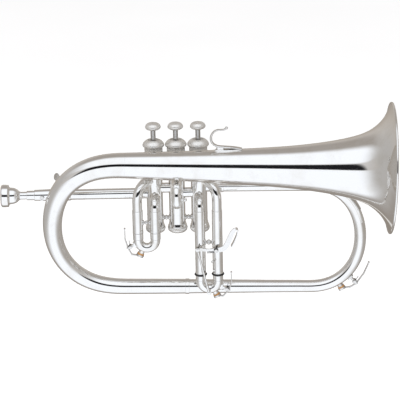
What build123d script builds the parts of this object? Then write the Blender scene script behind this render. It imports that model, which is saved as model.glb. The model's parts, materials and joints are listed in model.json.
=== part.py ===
# Flugelhorn with three piston valves, three movable valve slides, a third-slide
# trigger and three water keys.  Millimetres.
# Origin: on the second valve's axis, mid-height of its casing.
# +X towards the bell mouth, +Z along the valves towards the finger buttons,
# -Y towards the player's right-hand side, where the bell tube runs.
from build123d import *
import os
from math import *

os.makedirs("parts", exist_ok=True)

# ------------------------------------------------------------ driving dimensions
BELL_R = 76.2            # bell rim radius (6 in bell)
BELL_Y = -30.0           # bell tube axis, in front of the valves
BELL_Z0 = 51.45          # height of the bell axis over the origin
BELL_SLOPE = 0.0317      # the bell axis falls towards the rim
PITCH = 26.0             # valve spacing
CAS_R = 9.4              # casing outside radius
CAS_BORE = 8.40          # casing bore
PISTON_R = 8.35          # running fit in the casing
PORT_BORE = 5.2          # main bore radius of the valve section
Z_LOW, Z_HIGH = 10.0, 16.2       # the two heights of the windway through the valves
Z_SL_LO, Z_SL_HI = 7.5, 27.0     # slide ports
STUB_R = 5.6             # slide port tube outside radius
SLEEVE_R = 6.05          # outer slide leg outside radius
SLEEVE_BORE = 5.65       # outer slide leg bore
LEG_R = 5.6              # inner slide leg outside radius
LEG_Y = -21.5            # plane of the first and third slide legs
S1_X = (-26.0, -46.2)    # first slide leg positions
S3_X = (26.0, 46.2)      # third slide leg positions
S1_END, S1_CROOK = -31.0, -40.2      # end of outer legs, centre of the crook
S3_END, S3_CROOK = -83.0, -92.6
S1_TOP, S3_TOP = -4.0, -5.5      # where the sleeves begin
Y_BOT = -6.0             # bottom branch
KEY_Y = -21.5

bx = cos(atan(BELL_SLOPE)); bz = -sin(atan(BELL_SLOPE))
BELL_O = (0, BELL_Y, BELL_Z0)
BELL_D = (bx, 0, bz)

# ------------------------------------------------------------ helpers
def vec(p): return p if isinstance(p, Vector) else Vector(*p)

def rod(p0, p1, r, ri=0.0):
    p0, p1 = vec(p0), vec(p1)
    d = p1 - p0
    s = Circle(r)
    if ri: s = s - Circle(ri)
    return extrude(Plane(origin=p0, z_dir=d.normalized()) * s, d.length)

def bend(c, p, t, ang, ro, ri=0.0):
    c, p, t = vec(c), vec(p), vec(t)
    ax = (p - c).cross(t).normalized()
    s = Circle(ro)
    if ri: s = s - Circle(ri)
    return revolve(Plane(origin=p, z_dir=t) * s, Axis(c, ax), revolution_arc=ang)

def turned(segs, o, d):
    """closed outline of (along axis, radius) points turned about the line o, d;
    each segment is ("l", points) or ("s", points) and starts where the last ended"""
    o, d = vec(o), vec(d).normalized()
    h = Vector(0, 0, 1) if abs(d.Z) < 0.9 else Vector(0, 1, 0)
    pl = Plane(origin=o, x_dir=d, z_dir=d.cross(h).normalized())
    edges, first, last = [], None, None
    for kind, pts in segs:
        pts = ([last] if last is not None else []) + list(pts)
        if first is None: first = pts[0]
        if kind == "l":
            for a, b in zip(pts[:-1], pts[1:]):
                edges.append(Line((a[0], a[1]), (b[0], b[1])))
        else:
            edges.append(Spline(*[(a[0], a[1]) for a in pts]))
        last = pts[-1]
    if (Vector(*first) - Vector(*last)).length > 1e-6:
        edges.append(Line((last[0], last[1]), (first[0], first[1])))
    return revolve(pl * make_face(edges), Axis(o, d), 360)

def ball(p, r): return Pos(*p) * Sphere(r)

def taper(path, radii, n, nrm, wall):
    """hollow tapered tube lofted through circles along a flat path"""
    outer, inner = [], []
    us = [i / (n - 1) for i in range(n)]
    for u in us:
        p, t = path.position_at(u), path.tangent_at(u)
        k = u * (len(radii) - 1)
        i = min(int(k), len(radii) - 2)
        r = radii[i] + (radii[i + 1] - radii[i]) * (k - i)
        xd = vec(nrm) - t * vec(nrm).dot(t)
        pl = Plane(origin=p, x_dir=xd, z_dir=t)
        outer.append(pl * Circle(r)); inner.append(pl * Circle(r - wall))
    return loft(outer), loft(inner)

def stations(path, radii, n, nrm, before=(), after=()):
    """section planes and radii: straight stations before, the curved path, straight after"""
    st = []
    for p, t, r in before: st.append((vec(p), vec(t).normalized(), r))
    for i in range(n):
        u = i / (n - 1)
        k = u * (len(radii) - 1); j = min(int(k), len(radii) - 2)
        st.append((path.position_at(u), path.tangent_at(u), radii[j] + (radii[j + 1] - radii[j]) * (k - j)))
    for p, t, r in after: st.append((vec(p), vec(t).normalized(), r))
    out = []
    for p, t, r in st:
        xd = vec(nrm) - t * vec(nrm).dot(t)
        out.append((Plane(origin=p, x_dir=xd, z_dir=t), r))
    return out

def skin(st, d=0.0):
    return loft([pl * Circle(r + d) for pl, r in st])

def hollow(runs, wall):
    """tube wall sewn from outer and inner skins of each run and two end rings;
    consecutive runs share their end section"""
    fs = []
    for st in runs:
        for d in (0.0, -wall):
            fs += [f for f in skin(st, d).faces() if f.geom_type != GeomType.PLANE]
    for pl, r in (runs[0][0], runs[-1][-1]):
        fs.append((pl * (Circle(r) - Circle(r - wall))).faces()[0])
    return Solid(Shell(fs))

def section(p, t, nrm, r):
    t = vec(t).normalized()
    return (Plane(origin=p, x_dir=vec(nrm) - t * vec(nrm).dot(t), z_dir=t), r)

def cone(p0, p1, r0, r1):
    p0, p1 = vec(p0), vec(p1)
    d = (p1 - p0).normalized()
    return loft([Plane(origin=p0, z_dir=d) * Circle(r0), Plane(origin=p1, z_dir=d) * Circle(r1)])

def resample(pts, radii, n=41):
    """radii at even steps of path length"""
    L = [0.0]
    for a, b in zip(pts[:-1], pts[1:]): L.append(L[-1] + (vec(b) - vec(a)).length)
    out = []
    for k in range(n):
        s = L[-1] * k / (n - 1)
        i = max(j for j in range(len(L) - 1) if L[j] <= s + 1e-9)
        out.append(radii[i] + (radii[i + 1] - radii[i]) * (s - L[i]) / (L[i + 1] - L[i]))
    return out

NODES = {}
def node(name, shape):
    if isinstance(shape, (list, tuple)):
        shape = Compound(children=[s for p in shape for s in p.solids()])
    NODES[name] = shape

def xz(x, z, y=0.0): return Vector(x, y, z)

# ------------------------------------------------------------ bell
bell_out = [(-58.6, 14.8), (-30, 15.85), (0, 17.05), (39, 18.85), (79.4, 21.05), (114, 23.15), (137, 25.15),
            (160, 27.85), (183, 31.5), (206, 36.8), (221, 42.6), (232.6, 51.0), (240.7, 61.0), (244.9, 70.6), (246.2, 74.6)]
BW = 0.7
def offset_pts(pts, t):
    res = []
    for i, (s, r) in enumerate(pts):
        a = pts[max(i - 1, 0)]; b = pts[min(i + 1, len(pts) - 1)]
        l = hypot(b[0] - a[0], b[1] - a[1])
        res.append((s + t * (b[1] - a[1]) / l, r - t * (b[0] - a[0]) / l))
    return res
bell_in = offset_pts(bell_out, BW)
bell_in[0] = (-58.6, 14.8 - BW)
bell = turned([("s", bell_out), ("l", [bell_in[-1]]), ("s", bell_in[::-1][1:])], BELL_O, BELL_D)
rim = turned([("s", [(245.8, 74.8), (246.21, 75.79), (247.2, 76.2), (248.19, 75.79), (248.6, 74.8), (248.19, 73.81), (247.2, 73.4), (246.21, 73.81), (245.8, 74.8)])], BELL_O, BELL_D)
bell = bell + rim
bell_solid = turned([("s", bell_out), ("l", [(246.2, 0), (-58.6, 0)])], BELL_O, BELL_D)
node("bell", bell)

# ------------------------------------------------------------ left bow and tail to the branch ferrule
def yl(z): return BELL_Y + (Y_BOT - BELL_Y) * (53.3 - z) / 157.0
lb = [(-58.6, 53.3, 14.8), (-79.3, 52.6, 14.3), (-91.5, 50.8, 13.9), (-103.3, 47.0, 13.4), (-114.2, 41.1, 13.0),
      (-124.2, 33.3, 12.6), (-132.5, 23.5, 12.2), (-138.7, 12.2, 11.8), (-142.8, 0.0, 11.5), (-145.2, -12.4, 11.2),
      (-146.0, -24.9, 10.95), (-145.2, -37.2, 10.7), (-142.8, -49.1, 10.5), (-138.7, -60.4, 10.25), (-132.9, -70.7, 10.05),
      (-125.6, -79.9, 9.95), (-117.1, -87.6, 9.85), (-107.4, -93.8, 9.75), (-96.8, -98.4, 9.65), (-85.0, -101.5, 9.5), (-60.0, -103.7, 9.2)]
lpts = [(x, yl(z), z) for x, z, r in lb]
lnrm = Vector(0, 157.0, -24.0).normalized()
lpts[0] = tuple(vec(BELL_O) + vec(BELL_D) * -58.63)
lpath = Spline(*[lpts[i] for i in range(0, 21, 2)], tangents=[tuple(vec(BELL_D) * -1), (1, 0.003, -0.0198)])
tail0, tail1 = (-60.0, Y_BOT, -103.7), (9.70, Y_BOT, -105.08)
td = (1, 0, -0.0198)
ln = (0, 1, -0.1529)
lbow = stations(lpath, resample(lpts, [a[2] for a in lb]), 25, ln)
ltail = [lbow[-1], section(tail1, td, ln, 8.75)]
bell_bow = hollow([lbow, ltail], 0.65)
to = cone((-10.0, Y_BOT, -104.69), tail1, 8.877, 8.75)
node("bell_bow", bell_bow)

# ------------------------------------------------------------ right bow, bottom branch and exit tube
def yr(z): return Y_BOT * (15.0 - z) / 123.1
rb = [(145.0, 15.06, 6.1), (158.2, 14.8, 6.15), (168.9, 13.7, 6.22), (179.3, 10.9, 6.32), (189.1, 6.2, 6.44), (197.6, -0.8, 6.56),
      (204.5, -9.4, 6.66), (209.6, -19.1, 6.72), (212.8, -29.4, 6.75), (214.4, -39.8, 6.78), (214.7, -50.2, 6.82), (213.7, -60.4, 6.88),
      (211.1, -70.4, 6.95), (207.0, -79.7, 7.0), (201.3, -88.1, 7.05), (194.2, -95.3, 7.1), (186.1, -101.0, 7.12), (177.1, -105.0, 7.15),
      (167.4, -107.3, 7.18), (157.5, -108.1, 7.2), (148.0, -107.97, 7.24)]
rb[-1] = (140.0, -107.75, 7.27)
rpts = [(x, yr(z), z) for x, z, r in rb]
rpath = Spline(*[rpts[i] for i in range(0, 21, 2)], tangents=[(1, 0, -0.0104), (-1, -0.001, 0.0195)])
seam = (117.2, 0, 15.35)
d_in, d_out = (1, 0, -0.0104), (-1, 0, 0.0205)
p_in, p_out = rpts[0], rpts[-1]
nb = 23
rr41 = resample(rpts, [a[2] for a in rb])
rn = (0, 1, -0.0487)
rbow = stations(rpath, rr41, 25, rn)
rin = [section(seam, d_in, rn, 6.0), rbow[0]]
rmid = section((108.0, Y_BOT, -107.1), d_out, rn, 7.42)
rend = section((9.75, Y_BOT, -105.08), d_out, rn, 8.6)
main_bow = hollow([rin, rbow, [rbow[-1], rmid], [rmid, rend]], 0.6)
node("main_bow", main_bow)
ends = [None, None, cone((30.0, Y_BOT, -105.495), (9.75, Y_BOT, -105.08), 8.42, 8.6)]
node("branch_ferrule", rod((7.6, Y_BOT, -105.04), (12.0, Y_BOT, -105.13), 9.25) - to - ends[2])

EX0, EX1 = (PITCH, 0, Z_HIGH), seam
ex_out = cone((PITCH + 8.0, 0, Z_HIGH), EX1, 5.8, 6.0)
casing3 = rod((PITCH, 0, -40), (PITCH, 0, 70), CAS_R)
node("exit_tube", ex_out - cone((PITCH + 8.0, 0, Z_HIGH), EX1, 5.2, 5.4) - casing3)
node("exit_ferrule", rod((51.2, 0, 16.02), (54.4, 0, 15.98), 6.6) - ex_out)

# bow guard: strip soldered along the outside of the right bow
bc = Vector(157.8, -3.1, -49.0)
gsecs_o, gsecs_i = [], []
guard = None
gpath_u = [0.135 + 0.021 * i for i in range(11)]
def sector(r0, r1, half):
    a = radians(half)
    p = lambda r, t: (r * cos(t), r * sin(t))
    return make_face([ThreePointArc(p(r0, -a), p(r0, 0), p(r0, a)), Line(p(r0, a), p(r1, a)),
                      ThreePointArc(p(r1, a), p(r1, 0), p(r1, -a)), Line(p(r1, -a), p(r0, -a))])
gs = []
for k, u in enumerate([0.17 + 0.02 * i for i in range(10)]):
    p, t = rpath.position_at(u), rpath.tangent_at(u)
    nn = Vector(0, 1, -0.0487).normalized()
    outw = t.cross(nn).normalized()
    if outw.dot(p - bc) < 0: outw = outw * -1
    kk = u * 40; rr = resample(rpts, [a[2] for a in rb]); i0 = int(kk)
    r = rr[i0] + (rr[i0 + 1] - rr[i0]) * (kk - i0)
    gs.append(Plane(origin=p, x_dir=outw, z_dir=t) * sector(r + 0.04, r + 0.75, 58))
guard = loft(gs)
node("bow_guard", guard.solids().sort_by(SortBy.VOLUME)[-1])

# ------------------------------------------------------------ leadpipe and receiver
LP = Z_LOW
casing1 = rod((-PITCH, 0, -40), (-PITCH, 0, 70), CAS_R)
node("leadpipe", cone((-132.0, 0, LP), (-PITCH - 8, 0, LP), 6.05, 6.3) - cone((-132.0, 0, LP), (-PITCH - 8, 0, LP), 5.0, 5.2) - casing1)
RX0, RX1 = -166.8, -124.0
rec = turned([("l", [(0, 5.55), (0, 6.15), (0.4, 6.3), (18, 6.95), (42.0, 6.95), (42.8, 6.5), (42.8, 6.15 + 0.0), (34.8, 6.15), (34.8, 5.55)])], (RX0, 0, LP), (1, 0, 0))
boss = rod((-139.8, 0, LP + 5.8), (-139.8, 0, LP + 11.0), 3.4)
rec = rec + boss
rec = rec - rod((-140, 0, LP), (-100, 0, LP), 5.55) - rod((-132.0, 0, LP), (-100, 0, LP), 6.15) - rod((-166.8, 0, LP), (-132, 0, LP), 5.55)
rec = rec - rod((-139.8, 0, LP), (-139.8, 0, LP + 12), 1.55)
node("receiver", rec)
# small guide screw and pin on the front of the receiver
rec_skin = turned([("l", [(0, 0), (0, 6.15), (0.4, 6.3), (18, 6.95), (42.8, 6.95), (42.8, 0)])], (RX0, 0, LP), (1, 0, 0))
gsx, gsz = -157.6, 8.6
gscrew = rod((gsx, -5.0, gsz), (gsx, -7.6, gsz), 2.0) + rod((gsx, -7.6, gsz), (gsx, -9.4, gsz), 2.6) - rod((gsx, -9.0, gsz), (gsx, -9.6, gsz), 1.2)
gpin = rod((-151.8, -5.0, 7.7), (-151.8, -8.2, 7.7), 1.1) + ball((-151.8, -8.2, 7.7), 1.35)
node("receiver_guide_screws", [gscrew - rec_skin, gpin - rec_skin])

# thumb screw that locks the tuning shank
tz = LP + 5.55 + 0.3
spade = extrude(Plane(origin=(-139.8, 0.9, 0), x_dir=(1, 0, 0), z_dir=(0, -1, 0)) * (Pos(0, 31.9) * Ellipse(3.3, 4.7)), 1.8)
thumb = rod((-139.8, 0, tz), (-139.8, 0, 24.6), 1.5) + rod((-139.8, 0, 21.2), (-139.8, 0, 22.4), 2.8) + cone((-139.8, 0, 22.4), (-139.8, 0, 28.5), 1.9, 1.3) + spade
thumb = Pos(-139.8, 0, 0) * Rot(0, 0, 28) * Pos(139.8, 0, 0) * thumb
node("thumb_screw", thumb)

# tuning shank: slides in the receiver, takes the mouthpiece
shank = turned([("l", [(0, 4.62), (0, 5.35), (0.4, 5.5), (41.0, 5.5), (41.0, 4.75), (22.0, 4.55), (21.0, 4.62)])], (-175.6, 0, LP), (1, 0, 0))
node("tuning_shank", shank)

# mouthpiece
MZ = LP
mp_out = [("l", [(0.6, 8.6)]), ("s", [(0.1, 9.8), (0.25, 11.6), (1.3, 12.85), (2.8, 13.25)]), ("l", [(8.0, 13.25), (8.9, 12.7), (9.3, 10.6), (10.2, 10.2), (10.6, 9.75)]),
          ("s", [(12.5, 9.55), (14.6, 9.3), (17.2, 8.4), (19.4, 7.0), (21.2, 5.4), (22.2, 4.75)]), ("l", [(23.0, 4.5), (29.9, 4.45), (50.0, 4.45), (50.0, 3.4), (26.0, 2.3)]),
          ("s", [(22.0, 2.6), (17.0, 5.4), (9.0, 7.6), (2.4, 8.4), (0.6, 8.6)])]
mouthpiece = turned(mp_out, (-205.8, 0, MZ), (1, 0, 0))
node("mouthpiece", mouthpiece)

# ------------------------------------------------------------ valve casings and caps
def casing(x, ports):
    c = turned([("l", [(-31.0, CAS_BORE), (-31.0, 11.1), (-30.0, 11.1)]), ("s", [(-28.2, 10.35), (-25.6, 9.75), (-23.0, CAS_R)]),
                ("l", [(-16.6, CAS_R), (-16.6, CAS_R + 0.16), (-15.9, CAS_R + 0.16), (-15.9, CAS_R), (66.0, CAS_R), (66.0, CAS_BORE)])], (x, 0, 0), (0, 0, 1))
    for d, z in ports:
        d = vec(d).normalized()
        c = c - rod(xz(x, z), xz(x, z) + d * 12, PORT_BORE)
    return c
D47L = (-20.2, -21.5, 0); D47R = (20.2, -21.5, 0)
P1 = [((-1, 0, 0), Z_LOW), ((1, 0, 0), Z_HIGH), ((0, -1, 0), Z_SL_LO), (D47L, Z_SL_HI)]
P2 = [((-1, 0, 0), Z_HIGH), ((1, 0, 0), Z_LOW), ((0, -1, 0), Z_SL_LO), ((0, -1, 0), Z_SL_HI)]
P3 = [((-1, 0, 0), Z_LOW), ((1, 0, 0), Z_HIGH), ((0, -1, 0), Z_SL_LO), (D47R, Z_SL_HI)]
for i, (x, pp) in enumerate(((-PITCH, P1), (0.0, P2), (PITCH, P3)), 1):
    node(f"valve_casing_{i}", casing(x, pp))
    # top cap: knurled skirt, domed shoulder, raised collar with a felt recess
    cap = turned([("l", [(56.5, CAS_R + 0.02), (56.5, 10.2), (56.9, 10.5), (65.4, 10.5), (65.9, 10.2), (66.6, 10.9)]), ("s", [(67.2, 12.1), (68.4, 12.65), (70.0, 12.3), (71.8, 11.2), (73.4, 9.6), (74.5, 8.0)]),
                  ("l", [(74.85, 7.2), (74.8, 6.4), (74.3, 5.9), (73.2, 5.65), (73.2, 3.2), (66.2, 3.2), (66.2, CAS_R + 0.02)])], (x, 0, 0), (0, 0, 1))
    node(f"top_cap_{i}", cap)
    bcap = turned([("l", [(-27.0, 3.0), (-27.0, 8.25), (-31.0, 8.25), (-31.0, 11.3), (-31.8, 11.55), (-34.2, 11.55)]), ("s", [(-35.6, 10.9), (-37.6, 8.6), (-38.8, 5.0), (-39.3, 2.2)]),
                   ("l", [(-39.3, 1.2), (-30.0, 1.2), (-30.0, 3.0)])], (x, 0, 0), (0, 0, 1))
    node(f"bottom_cap_{i}", bcap)
    # piston with three windways, stem; bottom-sprung
    T = 11.5
    top = 58.0
    pis = rod((x, 0, -3), (x, 0, top), PISTON_R) - rod((x, 0, -4), (x, 0, 2.0), 6.9)
    pis = pis + rod((x, 0, top), (x, 0, 61.6), 6.4) + rod((x, 0, 61.6), (x, 0, 88.3), 2.9)
    def way(pts, r=3.8):
        w = ball(pts[1], r)
        for q in (pts[0], pts[2]):
            d = (vec(q) - vec(pts[1]))
            w = w + rod(pts[1], vec(pts[1]) + d * 1.4, r)
        return w
    sgn = {1: (Z_LOW, Z_HIGH), 2: (Z_HIGH, Z_LOW), 3: (Z_LOW, Z_HIGH)}[i]
    a, b = sgn
    up = {1: D47L, 2: (0, -1, 0), 3: D47R}[i]
    upv = vec(up).normalized() * 8.4
    pis = pis - way([(x - 8.4, 0, a), (x, 0, (a + b) / 2), (x + 8.4, 0, b)])
    if i == 2:
        pis = pis - way([(x - 8.4, 0, a + T), (x - 1.5, -1.5, 33.8), (x, -8.4, Z_SL_HI + T)]) - way([(x + 8.4, 0, b + T), (x + 2.6, -2.6, b + T - 0.6), (x, -8.4, Z_SL_LO + T)], 3.6)
    else:
        s = 1 if i == 1 else 1
        pis = pis - way([(x - 8.4, 0, a + T), (x - 2.6, -2.6, a + T - 0.4), (x, -8.4, Z_SL_LO + T)], 3.6)
        pis = pis - way([(x + 8.4, 0, b + T), (x + 1.0, -0.5, 34.0), (x + upv.X, upv.Y, Z_SL_HI + T)])
    node(f"piston_{i}", pis)
    but = turned([("l", [(86.4, 2.92), (86.4, 3.6)]), ("s", [(86.9, 5.4), (87.8, 7.4), (89.0, 8.7), (90.2, 9.1), (91.5, 8.8), (93.0, 7.9), (94.3, 6.3), (94.95, 4.4)]),
                  ("l", [(95.15, 2.4), (95.2, 0.0), (88.4, 0.0), (88.4, 2.92)])], (x, 0, 0), (0, 0, 1))
    node(f"finger_button_{i}", but)
    hel = Pos(x, 0, -26.5) * Helix(pitch=3.6, height=22.6, radius=5.6)
    e = hel.edges()[0] if hasattr(hel, "edges") else hel
    spr = sweep(Plane(origin=e.position_at(0), z_dir=e.tangent_at(0)) * Circle(0.45), path=e, is_frenet=True)
    node(f"valve_spring_{i}", spr)

cas = [rod((x, 0, -40), (x, 0, 70), CAS_R) for x in (-PITCH, 0, PITCH)]
kn = []
for x0, x1, z in ((-PITCH, 0, Z_HIGH), (0, PITCH, Z_LOW)):
    kk = rod((x0 + 7, 0, z), (x1 - 7, 0, z), 5.9, PORT_BORE)
    for c in cas: kk = kk - c
    kn.append(kk)
node("valve_knuckles", kn)

# turned spool braces between the casings
br = []
for xm in (-PITCH / 2, PITCH / 2):
    for z in (-20.3,):
        b = turned([("l", [(-4.6, 0), (-4.6, 3.4), (-3.2, 3.4)]), ("s", [(-2.2, 2.3), (-1.2, 2.0)]), ("l", [(-0.7, 2.9), (0.7, 2.9), (1.2, 2.0)]), ("s", [(2.2, 2.3), (3.2, 3.4)]), ("l", [(4.6, 3.4), (4.6, 0)])], (xm, 0, z), (1, 0, 0))
        for c in cas: b = b - c
        br.append(b)
node("casing_braces", br)

# ------------------------------------------------------------ slide port tubes and outer legs
def port_leg_straight(x, ztop, zend, R=12.0):
    """port tube out of the casing front, quarter bend, sleeve going down"""
    yc = LEG_Y + R
    t = rod((x, -7.0, Z_SL_LO), (x, yc, Z_SL_LO), STUB_R) + bend((x, yc, Z_SL_LO - R), (x, yc, Z_SL_LO), (0, -1, 0), 90, STUB_R)
    i = rod((x, -6.0, Z_SL_LO), (x, yc, Z_SL_LO), PORT_BORE) + bend((x, yc, Z_SL_LO - R), (x, yc, Z_SL_LO), (0, -1, 0), 90, PORT_BORE)
    return t, i

def sleeve(x, z0, z1, ztop):
    """outer leg: stub above, wider sleeve with a rolled end ring below"""
    o = rod((x, LEG_Y, ztop), (x, LEG_Y, z0), STUB_R) if ztop > z0 + 0.01 else None
    s = turned([("l", [(z1, SLEEVE_BORE), (z1, SLEEVE_R + 0.22), (z1 + 1.3, SLEEVE_R + 0.22), (z1 + 1.5, SLEEVE_R), (z0 - 0.5, SLEEVE_R), (z0, STUB_R + 0.1), (z0, SLEEVE_BORE - 0.45), (z0 - 1.5, SLEEVE_BORE - 0.45), (z0 - 1.5, SLEEVE_BORE)])], (x, LEG_Y, 0), (0, 0, 1))
    return o, s

def outer_leg_a(x, z0, z1):
    R = 12.0
    t, i = port_leg_straight(x, z0, z1, R)
    zt = Z_SL_LO - R           # where the bend meets the leg
    o, s = sleeve(x, min(z0, zt), z1, zt)
    body = t + s if o is None else t + o + s
    bore = i + rod((x, LEG_Y, zt), (x, LEG_Y, z0 - 2.0), PORT_BORE)
    body = body - bore
    for c in cas: body = body - c
    return body

def outer_leg_b(xv, x, z0, z1):
    dv = Vector(x - xv, LEG_Y, 0); dist = dv.length; u = dv.normalized()
    R = 19.8
    h0 = dist - R
    ps = Vector(xv, 0, Z_SL_HI) + u * h0
    c = ps + Vector(0, 0, -R)
    t = rod(Vector(xv, 0, Z_SL_HI) + u * 7.0, ps, STUB_R) + bend(c, ps, u, 90, STUB_R)
    i = rod(Vector(xv, 0, Z_SL_HI) + u * 6.0, ps, PORT_BORE) + bend(c, ps, u, 90, PORT_BORE)
    zt = Z_SL_HI - R
    o, s = sleeve(x, z0, z1, zt)
    body = t + o + s
    bore = i + rod((x, LEG_Y, zt), (x, LEG_Y, z0 - 2.0), PORT_BORE)
    body = body - bore
    for cc in cas: body = body - cc
    return body

node("slide1_outer_a", outer_leg_a(S1_X[0], S1_TOP - 0.6, S1_END))
node("slide1_outer_b", outer_leg_b(-PITCH, S1_X[1], S1_TOP, S1_END))
node("slide3_outer_a", outer_leg_a(S3_X[0], S3_TOP, S3_END))
node("slide3_outer_b", outer_leg_b(PITCH, S3_X[1], S3_TOP, S3_END))

def leg_brace(xs, z, ballr, cut):
    """one turned spool with a bead in the middle, saddled on both sleeves"""
    xm = (xs[0] + xs[1]) / 2
    bead = [(-ballr * cos(a * pi / 10), max(1.25, ballr * sin(a * pi / 10))) for a in range(1, 10)]
    b = turned([("l", [(-4.6, 0), (-4.6, 3.1), (-3.3, 3.1), (-2.95, 2.2), (-2.5, 1.6), (-1.0 - ballr * 0.55, 1.25)] if ballr < 2.5 else [(-4.6, 0), (-4.6, 3.1), (-3.6, 3.1), (-3.3, 1.9), (-3.05, 1.25)]),
                ("l", bead), ("l", [(-x, r) for x, r in ([(-1.0 - ballr * 0.55, 1.25), (-2.5, 1.6), (-2.95, 2.2), (-3.3, 3.1), (-4.6, 3.1), (-4.6, 0)] if ballr < 2.5 else [(-3.05, 1.25), (-3.3, 1.9), (-3.6, 3.1), (-4.6, 3.1), (-4.6, 0)])])], (xm, LEG_Y, z), (1, 0, 0))
    for x in xs: b = b - rod((x, LEG_Y, z - 12), (x, LEG_Y, z + 12), SLEEVE_R)
    return b
node("slide1_brace", leg_brace(S1_X, -19.2, 2.3, None))
node("slide3_brace", leg_brace(S3_X, -44.8, 3.0, None))

# second slide: two short legs towards the viewer's side
s2 = []
for z in (Z_SL_LO, Z_SL_HI):
    o = rod((0, -7.0, z), (0, -17.0, z), STUB_R, PORT_BORE) + turned([("l", [(17.0, SLEEVE_BORE), (17.0, STUB_R + 0.1), (17.5, SLEEVE_R - 0.05), (28.5, SLEEVE_R - 0.05), (28.5, SLEEVE_R + 0.15), (29.6, SLEEVE_R + 0.15), (29.6, SLEEVE_BORE)])], (0, 0, z), (0, -1, 0))
    o = o + rod((0, -15.5, z), (0, -17.0, z), STUB_R + 0.1, PORT_BORE)
    for c in cas: o = o - c
    s2.append(o)
node("slide2_outer_legs", s2)

# ------------------------------------------------------------ water keys
def key_parts(c, r_skin, th0, piv, tip, low, y0, side, nip_out=2.0, legs=True):
    """c: centre of the bow in XZ, r_skin: outer radius of the bow there, th0: nipple
    direction (deg), piv: hinge centre, tip: end of the touchpiece, side: +1 if the
    hinge lies on the +X side of the nipple.  Returns fixed solids, lever, cork, spring."""
    C = Vector(c[0], y0, c[1])
    n = Vector(cos(radians(th0)), 0, sin(radians(th0)))
    t = Vector(-n.Z, 0, n.X) * side            # towards the hinge
    P = Vector(piv[0], y0, piv[1]); TIP = Vector(tip[0], y0, tip[1])
    Y = Vector(0, 1, 0)
    base = C + n * (r_skin - 1.2)
    seat = C + n * (r_skin + nip_out)
    nip = rod(base, seat, 3.3) + rod(seat - n * 0.7, seat, 3.6)
    pc = (C - P).normalized()                  # from the hinge to the bow
    barrel = rod(P - Y * 2.4, P + Y * 2.4, 2.0)
    post = extrude(Plane(origin=P, x_dir=Y, z_dir=pc) * RectangleRounded(4.4, 3.0, 1.0), (C - P).length - r_skin + 1.5)
    flange = extrude(Plane(origin=C - pc * (r_skin - 1.4), x_dir=Y, z_dir=-pc) * RectangleRounded(6.6, 7.4, 1.6), 2.2)
    fixed = [nip, barrel + post + flange]
    hole = rod(P - Y * 6, P + Y * 6, 1.06)
    # lever: two cheeks, screw through them, arm to the cork cup and touchpiece
    cheek = None
    for s in (-1, 1):
        k = rod(P + Y * (2.65 * s), P + Y * (3.75 * s), 2.2)
        cheek = k if cheek is None else cheek + k
    screw = rod(P - Y * 4.5, P + Y * 4.1, 1.0) + rod(P - Y * 4.6, P - Y * 3.75, 1.7)
    cup_a = seat + n * 3.0
    cup_b = seat + n * 4.6
    # the cup wraps the back 1.2 mm of the cork
    cup = rod(seat + n * 1.9, cup_b, 4.5) - rod(seat + n * 1.0, cup_a, 4.0)
    LOW = Vector(low[0], y0, low[1])
    back = (P - C).normalized()
    B1 = P + back * 3.6                        # bridge outside the barrel
    w = 2.4
    def strap(a, b, wid, th):
        a, b = vec(a), vec(b); d = b - a
        return extrude(Plane(origin=a, x_dir=Y, z_dir=d.normalized()) * RectangleRounded(wid, th, min(wid, th) * 0.45), d.length)
    bridge = strap(B1 - t * 1.2, B1 + t * 1.2, 7.5, 1.5)
    arms = None
    for s in (-1, 1):
        a = strap(P + Y * (3.2 * s), B1 + Y * (3.2 * s), 1.0, 2.6)
        arms = a if arms is None else arms + a
    m1 = cup_b - n * 0.8 + t * 1.0
    m2 = LOW
    low_arm = strap(m1, m2, 3.6, 1.5) + rod(m2 - Y * 1.7, m2 + Y * 1.7, 0.95) + strap(m2, B1, 3.4, 1.5)
    d = (TIP - B1)
    mid = B1 + d * 0.5 + back * 1.6
    up_arm = strap(B1, mid, 3.4, 1.3) + strap(mid, TIP, 4.2, 1.2) + rod(TIP - Y * 2.6, TIP + Y * 2.6, 1.0) + rod(mid - Y * 1.5, mid + Y * 1.5, 0.8)
    lever = cheek + screw + cup + bridge + arms + low_arm + up_arm
    lever = lever - rod(P - Y * 2.6, P + Y * 2.6, 3.05) + rod(P - Y * 3.0, P + Y * 3.0, 1.0)
    cork = rod(seat + n * 0.02, cup_a, 3.95)
    bore = rod(C + n * (r_skin - 4), seat + n * 0.5, 1.7)
    return fixed, hole, bore, lever, cork, (P, n, t, back, seat, Y)

def key_spring(P, back, t, up):
    """three open turns on the hinge barrel, joined on the outside, and one leg"""
    Y = Vector(0, 1, 0)
    side_ = back.cross(Y).normalized()
    a0 = radians(-112)
    s = None
    for yy in (-1.5, 0.0, 1.5):
        c = P + Y * yy
        p = c + (back * cos(a0) + side_ * sin(a0)) * 2.4
        tt = (back * -sin(a0) + side_ * cos(a0))
        k = bend(c, p, tt, 224, 0.3)
        s = k if s is None else s + k
    s = s + rod(P - Y * 1.5 + back * 2.4, P + Y * 1.5 + back * 2.4, 0.28)
    sd = side_ if side_.Z > 0 else side_ * -1
    q = P + sd * 2.4
    s = s + rod(q, q + (sd + back * -0.25).normalized() * 5.5, 0.3)
    return s.solids().sort_by(SortBy.VOLUME)[-1]

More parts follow.
